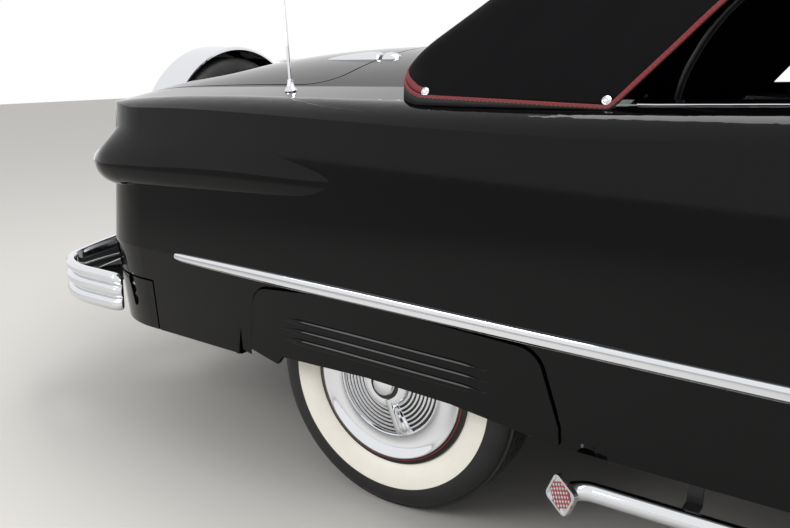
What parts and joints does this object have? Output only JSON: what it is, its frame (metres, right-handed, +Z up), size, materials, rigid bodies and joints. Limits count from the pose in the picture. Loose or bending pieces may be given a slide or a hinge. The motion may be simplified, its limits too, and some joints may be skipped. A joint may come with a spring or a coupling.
{
  "type": "two-door convertible car",
  "caption": "Two-door convertible with a raised soft top, skirted rear wheels, side pipes and a spare wheel carried upright behind the tail in a chrome ring.",
  "frame": {"origin": "on the ground, under the middle of the whole length and width", "axes": "+X forward, +Y to the car's left, +Z up"},
  "size_m": [5.149, 1.935, 1.58],
  "materials": {
    "black_paint": "high gloss",
    "chassis_black": "satin",
    "engine_grey": "painted",
    "chrome": "polished",
    "steel_tube": "dull",
    "tyre": "matte",
    "canvas": "woven",
    "trim": "grained",
    "glass": "clear",
    "red_lens": "clear",
    "dash_paint": "gloss"
  },
  "bodies": {
    "chassis": {"frame": "chassis_black", "engine": "engine_grey", "rear_axle": "chassis_black", "fuel_tank": "chassis_black", "exhaust": "steel_tube", "body_shell": "black_paint", "quarter_panels": "black_paint", "splash_panel": "black_paint", "fender_left": "black_paint", "fender_right": "black_paint", "nose_panel": "black_paint", "skirt_left": "black_paint", "skirt_right": "black_paint", "windshield_frame": "chrome", "windshield_glass": "glass", "soft_top": "canvas", "rear_window": "glass", "dash": "dash_paint", "seat_front": "trim", "seat_rear": "trim", "grille": "chrome", "headlamps": "chrome", "taillamps": "red_lens", "bumper_front": "chrome", "bumper_rear": "chrome", "antenna": "chrome", "side_pipe_left": "chrome", "side_pipe_right": "chrome", "spare_tyre": "tyre", "spare_cover": "chrome"},
    "door_left": {"door_left": "black_paint", "vent_window_left": "chrome"},
    "door_right": {"door_right": "black_paint", "vent_window_right": "chrome"},
    "hood": {"hood": "black_paint"},
    "deck_lid": {"deck_lid": "black_paint"},
    "knuckle_left": {"knuckle_left": "chassis_black"},
    "knuckle_right": {"knuckle_right": "chassis_black"},
    "steering_wheel": {"steering_wheel": "dash_paint"},
    "wheel_front_left": {"tyre_front_left": "tyre", "wheel_front_left": "chrome"},
    "wheel_front_right": {"tyre_front_right": "tyre", "wheel_front_right": "chrome"},
    "wheel_rear_left": {"tyre_rear_left": "tyre", "wheel_rear_left": "chrome"},
    "wheel_rear_right": {"tyre_rear_right": "tyre", "wheel_rear_right": "chrome"}
  },
  "joints": [
    {"name": "steer_right", "type": "hinge", "parent": "chassis", "child": "knuckle_right", "pos_m": [1.718, -0.598, 0.34], "axis": [0, 0, 1], "range_deg": [-28, 28]},
    {"name": "steer_left", "type": "hinge", "parent": "chassis", "child": "knuckle_left", "pos_m": [1.718, 0.598, 0.34], "axis": [0, 0, 1], "range_deg": [-28, 28]},
    {"name": "steering_wheel_turn", "type": "hinge", "parent": "chassis", "child": "steering_wheel", "pos_m": [0.522, 0.36, 0.905], "axis": [-0.8829, 0, 0.4695], "range_deg": [-560, 560]},
    {"name": "door_left_hinge", "type": "hinge", "parent": "chassis", "child": "door_left", "pos_m": [0.979, 0.911, 0.7], "axis": [0, 0, -1], "range_deg": [0, 65]},
    {"name": "door_right_hinge", "type": "hinge", "parent": "chassis", "child": "door_right", "pos_m": [0.979, -0.911, 0.7], "axis": [0, 0, 1], "range_deg": [0, 65]},
    {"name": "hood_hinge", "type": "hinge", "parent": "chassis", "child": "hood", "pos_m": [1.182, 0, 1.13], "axis": [0, -1, 0], "range_deg": [0, 45]},
    {"name": "deck_lid_hinge", "type": "hinge", "parent": "chassis", "child": "deck_lid", "pos_m": [-1.484, 0, 1.146], "axis": [0, 1, 0], "range_deg": [0, 55]},
    {"name": "wheel_front_left_spin", "type": "hinge", "parent": "knuckle_left", "child": "wheel_front_left", "pos_m": [1.718, 0.711, 0.34], "axis": [0, 1, 0], "continuous": true},
    {"name": "wheel_front_right_spin", "type": "hinge", "parent": "knuckle_right", "child": "wheel_front_right", "pos_m": [1.718, -0.711, 0.34], "axis": [0, 1, 0], "continuous": true},
    {"name": "wheel_rear_left_spin", "type": "hinge", "parent": "chassis", "child": "wheel_rear_left", "pos_m": [-1.178, 0.711, 0.34], "axis": [0, 1, 0], "continuous": true},
    {"name": "wheel_rear_right_spin", "type": "hinge", "parent": "chassis", "child": "wheel_rear_right", "pos_m": [-1.178, -0.711, 0.34], "axis": [0, 1, 0], "continuous": true}
  ],
  "couplings": [
    {"joint": "steer_left", "follows": "steer_right", "ratio": 1},
    {"joint": "steering_wheel_turn", "follows": "steer_right", "ratio": 18}
  ]
}
